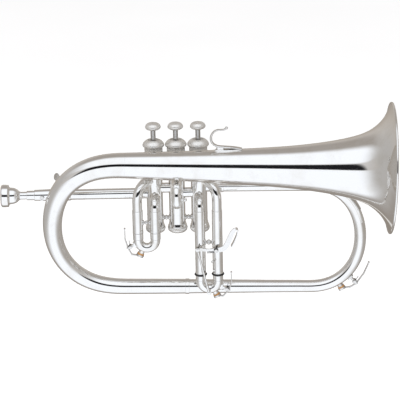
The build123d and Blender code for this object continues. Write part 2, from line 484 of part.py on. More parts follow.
def crook(xs, zc, zend, top_in, ferr):
    """inner legs, ferrules and U-bend of a slide, as (outer, bore)"""
    R = abs(xs[1] - xs[0]) / 2
    xm = (xs[0] + xs[1]) / 2
    xl, xr = min(xs), max(xs)
    o = bend((xm, LEG_Y, zc), (xl, LEG_Y, zc), (0, 0, -1), 180, LEG_R)
    b = bend((xm, LEG_Y, zc), (xl, LEG_Y, zc), (0, 0, -1), 180, PORT_BORE)
    for x in (xl, xr):
        o = o + rod((x, LEG_Y, zc), (x, LEG_Y, top_in), LEG_R)
        b = b + rod((x, LEG_Y, zc), (x, LEG_Y, top_in), PORT_BORE)
        o = o + turned([("l", [(ferr[1], LEG_R - 0.3), (ferr[1], LEG_R + 0.15), (ferr[1] + 0.5, SLEEVE_R - 0.05), (ferr[0] - 0.3, SLEEVE_R - 0.05), (ferr[0], SLEEVE_R - 0.2), (ferr[0], LEG_R - 0.3)])], (x, LEG_Y, 0), (0, 0, 1))
    return o, b

# first slide
gap = 0.35
o, b = crook(S1_X, S1_CROOK, S1_END, S1_TOP - 4.0, (S1_END - gap, S1_CROOK + 0.7))
c1 = ((S1_X[0] + S1_X[1]) / 2, S1_CROOK)
f, hole, bore, lev, cork, g = key_parts(c1, 10.1 + LEG_R, 246.0, (-55.3, -48.4), (-61.8, -26.8), (-54.4, -58.2), KEY_Y, -1)
s1 = o
for k in f: s1 = s1 + k
s1 = s1 - b - hole - bore
node("slide1_crook", s1)
node("key1_lever", lev - s1)
node("key1_cork", cork)
node("key1_spring", key_spring(g[0], g[3], g[2], None))

# third slide
o, b = crook(S3_X, S3_CROOK, S3_END, S3_TOP - 4.0, (S3_END - 2.6, S3_CROOK + 0.7))
c3 = ((S3_X[0] + S3_X[1]) / 2, S3_CROOK)
f, hole, bore, lev, cork, g = key_parts(c3, 10.1 + LEG_R, -65.0, (55.8, -103.0), (61.9, -83.2), (51.8, -112.4), KEY_Y, 1)
s3 = o
for k in f: s3 = s3 + k
# lug for the trigger rod on the front of the crook
s3 = s3 + rod((35.3, -24.0, -103.6), (35.3, -30.3, -103.6), 2.0) + rod((35.3, -29.0, -103.6), (35.3, -36.5, -103.6), 0.95) + rod((35.3, -35.95, -103.6), (35.3, -36.9, -103.6), 1.6)
s3 = s3 - b - hole - bore
node("slide3_crook", s3)
node("key3_lever", lev - s3)
node("key3_cork", cork)
node("key3_spring", key_spring(g[0], g[3], g[2], None))
bump = []
for x in S3_X:
    bump.append(turned([("s", [(S3_END - 1.35 + 1.1 * sin(a * pi / 6), SLEEVE_R + 0.35 + 1.1 * cos(a * pi / 6)) for a in range(13)])], (x, LEG_Y, 0), (0, 0, 1))
                - rod((x, LEG_Y, S3_END), (x, LEG_Y, S3_END - 5), LEG_R + 0.02))
node("slide3_bumpers", bump)

# main bow water key
kc = (157.8, -49.0)
def bow_point(a):
    """centre line point and radius of the bow seen from its centre at angle a"""
    best = None
    rr = resample(rpts, [q[2] for q in rb])
    for k in range(401):
        p = rpath.position_at(k / 400)
        ang = degrees(atan2(p.Z - kc[1], p.X - kc[0]))
        if best is None or abs(ang - a) < best[0]: best = (abs(ang - a), p, rr[min(int(k / 10), 39)])
    return best[1], best[2]
pk, rk = bow_point(-60.5)
dist_k = hypot(pk.X - kc[0], pk.Z - kc[1])
f, hole, bore, lev, cork, g = key_parts(kc, dist_k + rk, -60.5, (207.8, -102.9), (224.8, -80.2), (203.4, -110.2), pk.Y, 1)
us = [k / 400 for k in range(401) if -74 < degrees(atan2(rpath.position_at(k / 400).Z - kc[1], rpath.position_at(k / 400).X - kc[0])) < -30]
loc = []
for q in range(7):
    u = us[0] + (us[-1] - us[0]) * q / 6
    k_ = u * 40; j_ = min(int(k_), 39)
    loc.append((Plane(origin=rpath.position_at(u), x_dir=(0, 1, -0.0487), z_dir=rpath.tangent_at(u)), rr41[j_] + (rr41[j_ + 1] - rr41[j_]) * (k_ - j_) + 0.03))
bow_local = skin(loc)
fx = f[0] + f[1] - bow_local - hole
fx = fx - bore
node("bow_key_mount", [s for s in fx.solids()])
node("bow_key_lever", lev)
node("bow_key_cork", cork)
node("bow_key_spring", key_spring(g[0], g[3], g[2], None))
print("bow key y", pk.Y)

# second slide crook with its pull knob
zm = (Z_SL_LO + Z_SL_HI) / 2; R2 = (Z_SL_HI - Z_SL_LO) / 2; yc2 = -35.6
o = bend((0, yc2, zm), (0, yc2, Z_SL_HI), (0, -1, 0), 180, LEG_R)
b = bend((0, yc2, zm), (0, yc2, Z_SL_HI), (0, -1, 0), 180, PORT_BORE)
for z in (Z_SL_LO, Z_SL_HI):
    o = o + rod((0, yc2, z), (0, -19.0, z), LEG_R) + turned([("l", [(29.95, 5.3), (29.95, 5.85), (30.2, 6.0), (34.6, 6.0), (35.0, 5.75), (35.0, 5.3)])], (0, 0, z), (0, -1, 0))
    b = b + rod((0, yc2, z), (0, -19.0, z), PORT_BORE)
knob = rod((2.0, -40.0, 13.6), (9.2, -40.0, 13.6), 1.1) + ball((9.6, -40.0, 13.6), 2.3) + rod((4.8, -40.0, 13.6), (6.0, -40.0, 13.6), 1.9)
node("slide2_crook", (o + knob) - b)

# ------------------------------------------------------------ third-slide trigger
PX, PZ = 44.3, -51.2
LXe, LZe = 22.9, -49.7
post = rod((PX, LEG_Y, PZ), (PX, -30.6, PZ), 3.0) + rod((PX, -30.0, PZ), (PX, -37.0, PZ), 1.2) + rod((PX, -36.3, PZ), (PX, -37.4, PZ), 2.2)
post = post - rod((S3_X[1], LEG_Y, PZ - 12), (S3_X[1], LEG_Y, PZ + 12), SLEEVE_R)
hookb = rod((41.6, -25.5, -66.5), (41.6, -30.2, -66.5), 0.9) - rod((S3_X[1], LEG_Y, -80), (S3_X[1], LEG_Y, -50), SLEEVE_R)
hook_c = bend((40.2, -30.2, -66.5), (41.6, -30.2, -66.5), (0, 0, 1), 250, 0.6)
stopd = rod((41.4, LEG_Y - 2, -78.4), (41.4, -27.6, -78.4), 1.2) - rod((S3_X[1], LEG_Y, -90), (S3_X[1], LEG_Y, -60), SLEEVE_R)
node("trigger_post", [s for q in (post, hookb + ball((41.6, -30.2, -66.5), 0.9) + hook_c, stopd) for s in q.solids()])

def plate(pts, y0, y1, closed=True):
    f = make_face([Spline(*[(p[0], p[1]) for p in seg]) if len(seg) > 2 else Line(seg[0], seg[1]) for seg in pts])
    pl = Plane(origin=(0, y0, 0), x_dir=(1, 0, 0), z_dir=(0, -1, 0))
    return extrude(pl * f, y0 - y1)
LT, LB = -30.95, -33.0
arm = plate([[(22.6, -47.6), (28.0, -48.6), (34.0, -49.6), (40.0, -49.4), (46.0, -48.2), (51.0, -47.2), (54.5, -43.2), (57.5, -36.6), (60.6, -30.2), (64.2, -25.8), (67.6, -24.4)],
             [(67.6, -24.4), (69.6, -25.6)],
             [(69.6, -25.6), (66.4, -30.4), (63.6, -37.2), (60.6, -44.6), (56.6, -51.0), (51.0, -53.4), (44.3, -53.9), (37.0, -53.2), (30.0, -52.4), (23.0, -51.9)],
             [(23.0, -51.9), (21.0, -50.6)], [(21.0, -50.6), (20.9, -49.0)], [(20.9, -49.0), (22.6, -47.6)]], LT, LB)
curl = None
cp = [(67.4, -24.9), (69.2, -25.0), (69.9, -27.6), (68.8, -32.0), (66.6, -37.6), (64.2, -42.6), (62.4, -45.6)]
for a, b in zip(cp[:-1], cp[1:]):
    A = Vector(a[0], 0, a[1]); B = Vector(b[0], 0, b[1]); d = B - A
    k = extrude(Plane(origin=(a[0], -35.4, a[1]), x_dir=(0, 1, 0), z_dir=d.normalized()) * Rectangle(9.0, 1.4), d.length) + rod((b[0], -39.9, b[1]), (b[0], -30.9, b[1]), 0.7)
    curl = k if curl is None else curl + k
lever = arm + rod((PX, -30.75, PZ), (PX, -33.2, PZ), 3.4) + rod((LXe, -30.75, LZe), (LXe, -33.1, LZe), 2.9) + curl
lever = lever - rod((PX, -30, PZ), (PX, -34, PZ), 1.25) - rod((LXe, -30, LZe), (LXe, -34, LZe), 1.75)
node("trigger_lever", lever)
tsp = None
for yy in (-33.9, -34.8, -35.7):
    k = Plane(origin=(PX, yy, PZ), z_dir=(0, 1, 0)) * Torus(2.2, 0.4)
    tsp = k if tsp is None else tsp + k
tsp = tsp + rod((PX - 1.4, -35.7, PZ - 1.7), (PX - 1.4, -33.9, PZ - 1.7), 0.4) + rod((PX + 0.4, -34.8, PZ - 2.15), (33.6, -34.8, -53.6), 0.45)
node("trigger_spring", tsp)
RY = -35.1
rd = (Vector(35.3, 0, -103.6) - Vector(LXe, 0, LZe)).normalized()
eA = Vector(LXe, RY, LZe); eB = Vector(35.3, RY, -103.6)
rodp = rod(eA + rd * 2.2, eB - rd * 2.2, 1.15)
rodp = rodp + rod(eA + rd * 2.2, eA + rd * 10.0, 1.65) + rod(eB - rd * 10.0, eB - rd * 2.2, 1.6)
rodp = rodp + rod((LXe, RY + 1.1, LZe), (LXe, RY - 1.1, LZe), 2.5) + rod((LXe, RY, LZe), (LXe, -29.9, LZe), 0.95) + rod((LXe, RY - 1.1, LZe), (LXe, RY - 2.0, LZe), 1.7)
rodp = rodp + rod((35.3, RY + 0.8, -103.6), (35.3, RY - 0.8, -103.6), 2.5) - rod((35.3, RY + 3, -103.6), (35.3, RY - 3, -103.6), 1.0)
node("trigger_rod", rodp)

# ------------------------------------------------------------ finger hook on the bell
hk = [(75.9, 70.6), (69.4, 71.9), (61.5, 72.8), (52.5, 73.5), (46.4, 74.9), (42.4, 78.2), (40.8, 83.1), (42.0, 88.4), (45.2, 92.0), (49.6, 93.5), (54.8, 93.6), (58.4, 95.4)]
hpath = Spline(*[(x, BELL_Y, z) for x, z in hk])
secs = []
for k in range(19):
    u = k / 18
    p, t = hpath.position_at(u), hpath.tangent_at(u)
    wy = 8.0 - 4.0 * u; th = 2.0 + 0.9 * sin(pi * min(1, u * 1.15))
    secs.append(Plane(origin=p, x_dir=(0, 1, 0), z_dir=t) * Ellipse(wy / 2, th / 2))
hook = loft(secs) + ball((58.9, BELL_Y, 95.7), 1.75)
ang = radians(26)
saddle = None
def bell_r(s):
    for a, b in zip(bell_out[:-1], bell_out[1:]):
        if a[0] <= s <= b[0]: return a[1] + (b[1] - a[1]) * (s - a[0]) / (b[0] - a[0])
sad = turned([("l", [(44.5, 17.0), (44.5, bell_r(44.5) + 1.0), (46, bell_r(46) + 1.5), (69, bell_r(69) + 1.3), (76.4, bell_r(76.4) + 0.25), (76.4, 17.0)])], BELL_O, BELL_D)
sadcut = extrude(Plane(origin=(60.0, BELL_Y, 78.0), z_dir=(0, 0, -1)) * Ellipse(17.2, 4.6), 16)
sad = sad & sadcut
foot = extrude(Plane(origin=(51.5, BELL_Y, 65.0), z_dir=(0, 0, 1)) * RectangleRounded(9.0, 5.0, 1.8), 9.4)
bell_cut = turned([("s", [(a_, b_ + 0.03) for a_, b_ in bell_out]), ("l", [(246.2, 0), (-58.6, 0)])], BELL_O, BELL_D)
hook = (hook + sad + foot) - bell_cut
node("finger_hook", hook.solids().sort_by(SortBy.VOLUME)[-1])

# short braces that carry the bell tube on the first and third casings
bb = []
for x in (-PITCH, PITCH):
    z = BELL_Z0 - BELL_SLOPE * x - 1.3
    k = rod((x, -7, z), (x, -16, z), 3.2) + rod((x, -7, z), (x, -10.4, z), 4.6)
    for c in cas: k = k - c
    k = k - bell_cut
    bb.append(k.solids().sort_by(SortBy.VOLUME)[-1])
node("bell_braces", bb)

# ------------------------------------------------------------ write the nodes
for name, shape in NODES.items():
    sol = shape.solids() if hasattr(shape, "solids") else [shape]
    print(name, len(sol), round(sum(s.volume for s in sol), 1))
    out = sol[0] if len(sol) == 1 else Compound(children=list(sol))
    export_step(out, f"parts/{name}.step")
print(len(NODES), "nodes")
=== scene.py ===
# Silver-plated flugelhorn: looks.  Metres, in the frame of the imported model.
import bpy
import json
import math
import numpy as np
from math import sin, cos, pi, radians, hypot
from mathutils import Vector, Matrix

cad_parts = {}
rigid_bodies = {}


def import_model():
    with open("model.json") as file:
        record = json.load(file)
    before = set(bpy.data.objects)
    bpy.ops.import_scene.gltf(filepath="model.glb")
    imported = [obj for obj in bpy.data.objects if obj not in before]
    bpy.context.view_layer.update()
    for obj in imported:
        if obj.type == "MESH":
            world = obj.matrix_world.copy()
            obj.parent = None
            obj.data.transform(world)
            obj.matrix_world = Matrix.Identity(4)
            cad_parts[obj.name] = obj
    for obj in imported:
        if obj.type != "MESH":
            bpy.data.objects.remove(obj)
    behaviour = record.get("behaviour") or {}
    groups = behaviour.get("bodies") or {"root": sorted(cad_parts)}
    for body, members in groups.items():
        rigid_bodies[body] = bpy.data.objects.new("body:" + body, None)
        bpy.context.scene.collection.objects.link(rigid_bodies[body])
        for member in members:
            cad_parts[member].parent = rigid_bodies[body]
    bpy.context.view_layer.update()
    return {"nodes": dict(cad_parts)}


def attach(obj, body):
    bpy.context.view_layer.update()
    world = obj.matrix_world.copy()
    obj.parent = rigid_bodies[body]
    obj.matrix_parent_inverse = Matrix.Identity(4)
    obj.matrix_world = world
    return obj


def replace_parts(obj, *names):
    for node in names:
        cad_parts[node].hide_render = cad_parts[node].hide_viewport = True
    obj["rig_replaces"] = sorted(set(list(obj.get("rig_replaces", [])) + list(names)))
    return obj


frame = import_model()
NODES = frame["nodes"]
MM = 0.001

# ------------------------------------------------------------ camera
el, roll, dist = radians(18.0), radians(1.2), 2.350
target = Vector((0.02685, 0.0, 0.0))
d = Vector((0.0, cos(el), -sin(el)))
r_ = Vector((1.0, 0.0, 0.0))
u_ = Vector((0.0, sin(el), cos(el)))
cx = r_ * cos(roll) - u_ * sin(roll)
cy = r_ * sin(roll) + u_ * cos(roll)
cz = -d
cam_data = bpy.data.cameras.new("camera")
cam = bpy.data.objects.new("camera", cam_data)
bpy.context.scene.collection.objects.link(cam)
loc = target - d * dist
cam.matrix_world = Matrix(((cx.x, cy.x, cz.x, loc.x), (cx.y, cy.y, cz.y, loc.y), (cx.z, cy.z, cz.z, loc.z), (0, 0, 0, 1)))
cam_data.lens = 180.435
cam_data.sensor_width = 36.0
cam_data.sensor_fit = "HORIZONTAL"
cam_data.clip_start = 0.01
cam_data.clip_end = 100.0
bpy.context.scene.camera = cam
bpy.context.scene.view_settings.view_transform = "Standard"
bpy.context.scene.view_settings.look = "None"


# ------------------------------------------------------------ materials
def tree(name):
    m = bpy.data.materials.new(name)
    m.use_nodes = True
    nt = m.node_tree
    b = nt.nodes["Principled BSDF"]
    return m, nt, b


def noise(nt, scale, detail=3.0, rough=0.5, vec=None, dist_=0.0):
    n = nt.nodes.new("ShaderNodeTexNoise")
    n.inputs["Scale"].default_value = scale
    n.inputs["Detail"].default_value = detail
    n.inputs["Roughness"].default_value = rough
    n.inputs["Distortion"].default_value = dist_
    if vec is not None:
        nt.links.new(vec, n.inputs["Vector"])
    return n


def coords(nt, scale=(1, 1, 1)):
    t = nt.nodes.new("ShaderNodeTexCoord")
    mp = nt.nodes.new("ShaderNodeMapping")
    mp.inputs["Scale"].default_value = scale
    nt.links.new(t.outputs["Object"], mp.inputs["Vector"])
    return mp.outputs["Vector"]


def ramp(nt, fac, stops):
    c = nt.nodes.new("ShaderNodeValToRGB")
    while len(c.color_ramp.elements) < len(stops):
        c.color_ramp.elements.new(0.5)
    for e, (p, col) in zip(c.color_ramp.elements, stops):
        e.position = p
        e.color = (*col, 1.0) if len(col) == 3 else col
    nt.links.new(fac, c.inputs["Fac"])
    return c.outputs["Color"]


def rng(nt, fac, a, b, c, e):
    m = nt.nodes.new("ShaderNodeMapRange")
    m.inputs["From Min"].default_value = a
    m.inputs["From Max"].default_value = b
    m.inputs["To Min"].default_value = c
    m.inputs["To Max"].default_value = e
    nt.links.new(fac, m.inputs["Value"])
    return m.outputs["Result"]


def bump(nt, height, strength, distance, b, after=None):
    n = nt.nodes.new("ShaderNodeBump")
    n.inputs["Strength"].default_value = strength
    n.inputs["Distance"].default_value = distance
    nt.links.new(height, n.inputs["Height"])
    if after is not None:
        nt.links.new(after, n.inputs["Normal"])
    nt.links.new(n.outputs["Normal"], b.inputs["Normal"])
    return n.outputs["Normal"]


def silver(name, rough=(0.045, 0.10), light=(0.965, 0.962, 0.955), dull=(0.90, 0.885, 0.855), edge=(0.80, 0.76, 0.71), wave=0.00004, streak=(1, 1, 1), metal=1.0):
    """polished silver plate: hazy handling marks, a breath of tarnish, slow ripples of the hand-finished tube"""
    m, nt, b = tree(name)
    v = coords(nt)
    haze = noise(nt, 38.0, 5.0, 0.62, v, 0.4)
    spots = noise(nt, 210.0, 4.0, 0.7, v)
    nt.links.new(ramp(nt, haze.outputs["Fac"], [(0.30, dull), (0.52, light), (1.0, light)]), b.inputs["Base Color"])
    mix = nt.nodes.new("ShaderNodeMath")
    mix.operation = "MULTIPLY_ADD"
    mix.inputs[1].default_value = 0.35
    nt.links.new(spots.outputs["Fac"], mix.inputs[0])
    nt.links.new(haze.outputs["Fac"], mix.inputs[2])
    nt.links.new(rng(nt, mix.outputs[0], 0.40, 0.95, rough[0], rough[1]), b.inputs["Roughness"])
    b.inputs["Metallic"].default_value = metal
    b.inputs["Specular Tint"].default_value = (*edge, 1.0)
    slow = noise(nt, 22.0, 1.0, 0.4, v)
    n1 = bump(nt, slow.outputs["Fac"], 0.25, wave * 10, b)
    fine = noise(nt, 2600.0, 2.0, 0.6, coords(nt, streak))
    bump(nt, fine.outputs["Fac"], 0.04, 0.00002, b, n1)
    return m


SILVER = silver("silver_plate")
SILVER_FLAT = silver("silver_plate_parts", (0.10, 0.20), (0.93, 0.925, 0.915), (0.80, 0.785, 0.76), (0.70, 0.67, 0.63))
SILVER_CAP = silver("silver_plate_caps", (0.20, 0.34), (0.86, 0.845, 0.82), (0.74, 0.72, 0.69), (0.6, 0.57, 0.53), streak=(1, 1, 12), metal=0.74)
SILVER_KEY = silver("silver_plate_levers", (0.12, 0.24), (0.82, 0.81, 0.795), (0.66, 0.645, 0.62), (0.55, 0.52, 0.49))


def nickel():
    """piston wall: lapped nickel alloy with rings from honing"""
    m, nt, b = tree("nickel_piston")
    v = coords(nt, (1, 1, 90))
    rings = noise(nt, 60.0, 4.0, 0.7, v)
    nt.links.new(ramp(nt, rings.outputs["Fac"], [(0.25, (0.42, 0.41, 0.395)), (0.6, (0.60, 0.59, 0.575)), (1.0, (0.70, 0.69, 0.67))]), b.inputs["Base Color"])
    nt.links.new(rng(nt, rings.outputs["Fac"], 0.3, 0.8, 0.20, 0.36), b.inputs["Roughness"])
    b.inputs["Metallic"].default_value = 1.0
    bump(nt, rings.outputs["Fac"], 0.15, 0.00003, b)
    return m


def steel():
    m, nt, b = tree("spring_steel")
    n = noise(nt, 900.0, 4.0, 0.6, coords(nt))
    nt.links.new(ramp(nt, n.outputs["Fac"], [(0.2, (0.06, 0.058, 0.056)), (0.7, (0.20, 0.195, 0.19))]), b.inputs["Base Color"])
    nt.links.new(rng(nt, n.outputs["Fac"], 0.3, 0.8, 0.22, 0.42), b.inputs["Roughness"])
    b.inputs["Metallic"].default_value = 1.0
    bump(nt, n.outputs["Fac"], 0.2, 0.00003, b)
    return m


def cork():
    """natural cork: tan ground, darker pores"""
    m, nt, b = tree("cork")
    v = coords(nt)
    vo = nt.nodes.new("ShaderNodeTexVoronoi")
    vo.inputs["Scale"].default_value = 1500.0
    nt.links.new(v, vo.inputs["Vector"])
    n = noise(nt, 700.0, 5.0, 0.65, v, 0.6)
    base = ramp(nt, n.outputs["Fac"], [(0.30, (0.20, 0.085, 0.03)), (0.45, (0.52, 0.27, 0.10)), (0.75, (0.66, 0.38, 0.17))])
    pores = ramp(nt, vo.outputs["Distance"], [(0.05, (0.35, 0.30, 0.26)), (0.30, (1, 1, 1))])
    mx = nt.nodes.new("ShaderNodeMix")
    mx.data_type = "RGBA"
    mx.blend_type = "MULTIPLY"
    mx.inputs["Factor"].default_value = 0.8
    nt.links.new(base, mx.inputs[6])
    nt.links.new(pores, mx.inputs[7])
    nt.links.new(mx.outputs[2], b.inputs["Base Color"])
    nt.links.new(rng(nt, n.outputs["Fac"], 0.3, 0.8, 0.72, 0.92), b.inputs["Roughness"])
    bump(nt, vo.outputs["Distance"], 0.5, 0.00012, b)
    return m


def rubber():
    m, nt, b = tree("black_rubber")
    n = noise(nt, 1300.0, 4.0, 0.6, coords(nt))
    nt.links.new(ramp(nt, n.outputs["Fac"], [(0.25, (0.008, 0.008, 0.009)), (0.8, (0.030, 0.029, 0.030))]), b.inputs["Base Color"])
    nt.links.new(rng(nt, n.outputs["Fac"], 0.3, 0.8, 0.42, 0.66), b.inputs["Roughness"])
    bump(nt, n.outputs["Fac"], 0.25, 0.00004, b)
    return m


NICKEL, STEEL, CORK, RUBBER = nickel(), steel(), cork(), rubber()


# ------------------------------------------------------------ mesh helpers
def spline(pts, n, t0=None, t1=None):
    """clamped or natural cubic spline through points, n even samples of length"""
    P = np.array(pts, float)
    h = np.linalg.norm(np.diff(P, axis=0), axis=1)
    s = np.concatenate([[0], np.cumsum(h)])
    N = len(P)
    A = np.zeros((N, N))
    B = np.zeros_like(P)
    for i in range(1, N - 1):
        A[i, i - 1], A[i, i], A[i, i + 1] = h[i - 1], 2 * (h[i - 1] + h[i]), h[i]
        B[i] = 6 * ((P[i + 1] - P[i]) / h[i] - (P[i] - P[i - 1]) / h[i - 1])
    if t0 is None:
        A[0, 0] = 1
    else:
        A[0, 0], A[0, 1] = 2 * h[0], h[0]
        B[0] = 6 * ((P[1] - P[0]) / h[0] - np.array(t0, float) / np.linalg.norm(t0))
    if t1 is None:
        A[-1, -1] = 1
    else:
        A[-1, -1], A[-1, -2] = 2 * h[-1], h[-1]
        B[-1] = 6 * (np.array(t1, float) / np.linalg.norm(t1) - (P[-1] - P[-2]) / h[-1])
    M = np.linalg.solve(A, B)

    def at(x):
        i = min(max(int(np.searchsorted(s, x) - 1), 0), N - 2)
        a, b = (s[i + 1] - x) / h[i], (x - s[i]) / h[i]
        return a * P[i] + b * P[i + 1] + ((a ** 3 - a) * M[i] + (b ** 3 - b) * M[i + 1]) * h[i] ** 2 / 6

    fine = np.array([at(x) for x in np.linspace(0, s[-1], 40 * N)])
    L = np.concatenate([[0], np.cumsum(np.linalg.norm(np.diff(fine, axis=0), axis=1))])
    return np.array([[np.interp(q, L, fine[:, k]) for k in range(P.shape[1])] for q in np.linspace(0, L[-1], n)])


def smooth(v, w=9, times=2):
    v = np.array(v, float)
    for _ in range(times):
        pad = np.concatenate([v[0] - (v[1:w + 1][::-1] - v[0]), v, v[-1] - (v[-w - 1:-1][::-1] - v[-1])])
        k = np.ones(2 * w + 1) / (2 * w + 1)
        v = np.convolve(pad, k, "valid")
    return v


def make(name, verts, faces, mat, body, nodes, sharp=32.0, slot="silver_plated_brass"):
    me = bpy.data.meshes.new(name)
    me.from_pydata([tuple(c * MM for c in v) for v in verts], [], faces)
    me.validate()
    me.update()
    for p in me.polygons:
        p.use_smooth = True
    me.set_sharp_from_angle(angle=radians(sharp))
    ob = bpy.data.objects.new(name, me)
    bpy.context.scene.collection.objects.link(ob)
    me.materials.append(mat)
    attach(ob, body)
    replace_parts(ob, *nodes)
    return ob


def grid(rings, close_u=False):
    """faces between equal rings; close_u joins the last ring to the first"""
    n = len(rings[0])
    fs = []
    m = len(rings)
    for i in range(m if close_u else m - 1):
        a, b = i * n, ((i + 1) % m) * n
        for j in range(n):
            k = (j + 1) % n
            fs.append((a + j, a + k, b + k, b + j))
    return [p for q in rings for p in q], fs


def axes(dv):
    dv = Vector(dv).normalized()
    h = Vector((0, 0, 1)) if abs(dv.z) < 0.9 else Vector((0, 1, 0))
    e1 = dv.cross(h).normalized()
    return dv, e1, dv.cross(e1).normalized()


def lathe(prof, o, dv, seg=96, mod=None):
    """closed outline of (along, radius) turned about the line o, dv"""
    dv, e1, e2 = axes(dv)
    o = Vector(o)
    rings = []
    for k, (s, r) in enumerate(prof):
        ring = []
        for j in range(seg):
            a = 2 * pi * j / seg
            rr = r if mod is None else mod(k, s, r, a)
            ring.append(tuple(o + dv * s + (e1 * cos(a) + e2 * sin(a)) * rr))
        rings.append(ring)
    v, f = grid(rings, True)
    return v, [tuple(reversed(q)) for q in f]


def join(*parts):
    V, F = [], []
    for v, f in parts:
        k = len(V)
        V += list(v)
        F += [tuple(i + k for i in q) for q in f]
    return V, F


def tube(path, radii, nrm, wall, seg=72):
    """hollow tube along a flat path"""
    path = np.array(path, float)
    T = np.gradient(path, axis=0)
    T /= np.linalg.norm(T, axis=1)[:, None]
    out, inn = [], []
    for p, t, r in zip(path, T, radii):
        t = Vector(t)
        x = (Vector(nrm) - t * Vector(nrm).dot(t)).normalized()
        y = t.cross(x)
        p = Vector(p)
        out.append([tuple(p + (x * cos(2 * pi * j / seg) + y * sin(2 * pi * j / seg)) * r) for j in range(seg)])
        inn.append([tuple(p + (x * cos(2 * pi * j / seg) + y * sin(2 * pi * j / seg)) * (r - wall)) for j in range(seg)])
    v, f = grid(out + inn[::-1], True)
    return v, f


def outward(v, f):
    """turns every face outwards if the signed volume is negative"""
    V = np.array(v)
    vol = 0.0
    for q in f:
        a = V[q[0]]
        for i in range(1, len(q) - 1):
            vol += np.dot(a, np.cross(V[q[i]], V[q[i + 1]]))
    return (v, f) if vol > 0 else (v, [tuple(reversed(q)) for q in f])


def soften(prof, r=0.25, n=3):
    """small rounds on the corners of a closed outline"""
    out = []
    m = len(prof)
    for i in range(m):
        p, a, b = np.array(prof[i], float), np.array(prof[i - 1], float), np.array(prof[(i + 1) % m], float)
        la, lb = np.linalg.norm(a - p), np.linalg.norm(b - p)
        if la < 1e-9 or lb < 1e-9:
            out.append(tuple(p))
            continue
        ca = np.dot(a - p, b - p) / la / lb
        if ca < -0.90:
            out.append(tuple(p))
            continue
        k = min(r, la * 0.42, lb * 0.42)
        A, B = p + (a - p) / la * k, p + (b - p) / lb * k
        for q in range(n + 1):
            t = q / n
            out.append(tuple((1 - t) ** 2 * A + 2 * t * (1 - t) * p + t * t * B))
    return out


def curve(pts, n):
    return [tuple(p) for p in spline(pts, n)]


# ------------------------------------------------------------ bell
BELL_SLOPE = 0.0317
bk = math.atan(BELL_SLOPE)
BO, BD = (0.0, -30.0, 51.45), (cos(bk), 0.0, -sin(bk))
bell_pts = [(-58.6, 14.8), (-30, 15.85), (0, 17.05), (39, 18.85), (79.4, 21.05), (114, 23.15), (137, 25.15),
            (160, 27.85), (183, 31.5), (206, 36.8), (221, 42.6), (232.6, 51.0), (240.7, 61.0), (244.9, 70.6), (246.2, 74.6)]
outer = curve(bell_pts, 150)
inner = []
for i, (s, r) in enumerate(outer):
    a, b = outer[max(i - 1, 0)], outer[min(i + 1, len(outer) - 1)]
    l = hypot(b[0] - a[0], b[1] - a[1])
    inner.append((s + 0.7 * (b[1] - a[1]) / l, r - 0.7 * (b[0] - a[0]) / l))
bell = lathe(outer + inner[::-1], BO, BD, 160)
bead = lathe([(247.2 + 1.4 * cos(2 * pi * k / 20), 74.8 + 1.4 * sin(2 * pi * k / 20)) for k in range(20)], BO, BD, 160)
make("bell_skin", *join(outward(*bell), outward(*bead)), SILVER, "horn", ["bell"])


# ------------------------------------------------------------ bows
def yl(z):
    return -30.0 + 24.0 * (53.3 - z) / 157.0


lb = [(-58.6, 53.3, 14.8), (-79.3, 52.6, 14.3), (-91.5, 50.8, 13.9), (-103.3, 47.0, 13.4), (-114.2, 41.1, 13.0),
      (-124.2, 33.3, 12.6), (-132.5, 23.5, 12.2), (-138.7, 12.2, 11.8), (-142.8, 0.0, 11.5), (-145.2, -12.4, 11.2),
      (-146.0, -24.9, 10.95), (-145.2, -37.2, 10.7), (-142.8, -49.1, 10.5), (-138.7, -60.4, 10.25), (-132.9, -70.7, 10.05),
      (-125.6, -79.9, 9.95), (-117.1, -87.6, 9.85), (-107.4, -93.8, 9.75), (-96.8, -98.4, 9.65), (-85.0, -101.5, 9.5), (-60.0, -103.7, 9.2)]


def radii_on(pts, radii, n):
    L = np.concatenate([[0], np.cumsum([np.linalg.norm(np.subtract(b, a)) for a, b in zip(pts[:-1], pts[1:])])])
    return smooth(np.interp(np.linspace(0, L[-1], n), L, radii), 10, 2)


lp = [(x, yl(z), z) for x, z, r in lb]
lp[0] = tuple(np.array(BO) + np.array(BD) * -58.63)
N = 181
path = spline(lp[0::2], N, (-BD[0], 0, -BD[2]), (1, 0.003, -0.0198))
rad = radii_on(lp, [q[2] for q in lb], N)
rad += (14.8 - rad[0]) * np.linspace(1, 0, N) ** 2
tail = np.linspace(path[-1], (9.70, -6.0, -105.08), 30)[1:]
trad = np.linspace(rad[-1], 8.75, 30)[1:]
make("bell_bow_skin", *outward(*tube(np.vstack([path, tail]), np.concatenate([rad, trad]), (0, 1, -0.1529), 0.65, 96)), SILVER, "horn", ["bell_bow"])


def yr(z):
    return -6.0 * (15.0 - z) / 123.1


rb = [(145.0, 15.06, 6.1), (158.2, 14.8, 6.15), (168.9, 13.7, 6.22), (179.3, 10.9, 6.32), (189.1, 6.2, 6.44), (197.6, -0.8, 6.56),
      (204.5, -9.4, 6.66), (209.6, -19.1, 6.72), (212.8, -29.4, 6.75), (214.4, -39.8, 6.78), (214.7, -50.2, 6.82), (213.7, -60.4, 6.88),
      (211.1, -70.4, 6.95), (207.0, -79.7, 7.0), (201.3, -88.1, 7.05), (194.2, -95.3, 7.1), (186.1, -101.0, 7.12), (177.1, -105.0, 7.15),
      (167.4, -107.3, 7.18), (157.5, -108.1, 7.2), (140.0, -107.75, 7.27)]
rp = [(x, yr(z), z) for x, z, r in rb]
path = spline(rp[0::2], N, (1, 0, -0.0104), (-1, -0.001, 0.0195))
rad = radii_on(rp, [q[2] for q in rb], N)
pre = np.linspace((117.2, 0, 15.35), path[0], 14)[:-1]
prad = np.linspace(6.0, rad[0], 14)[:-1]
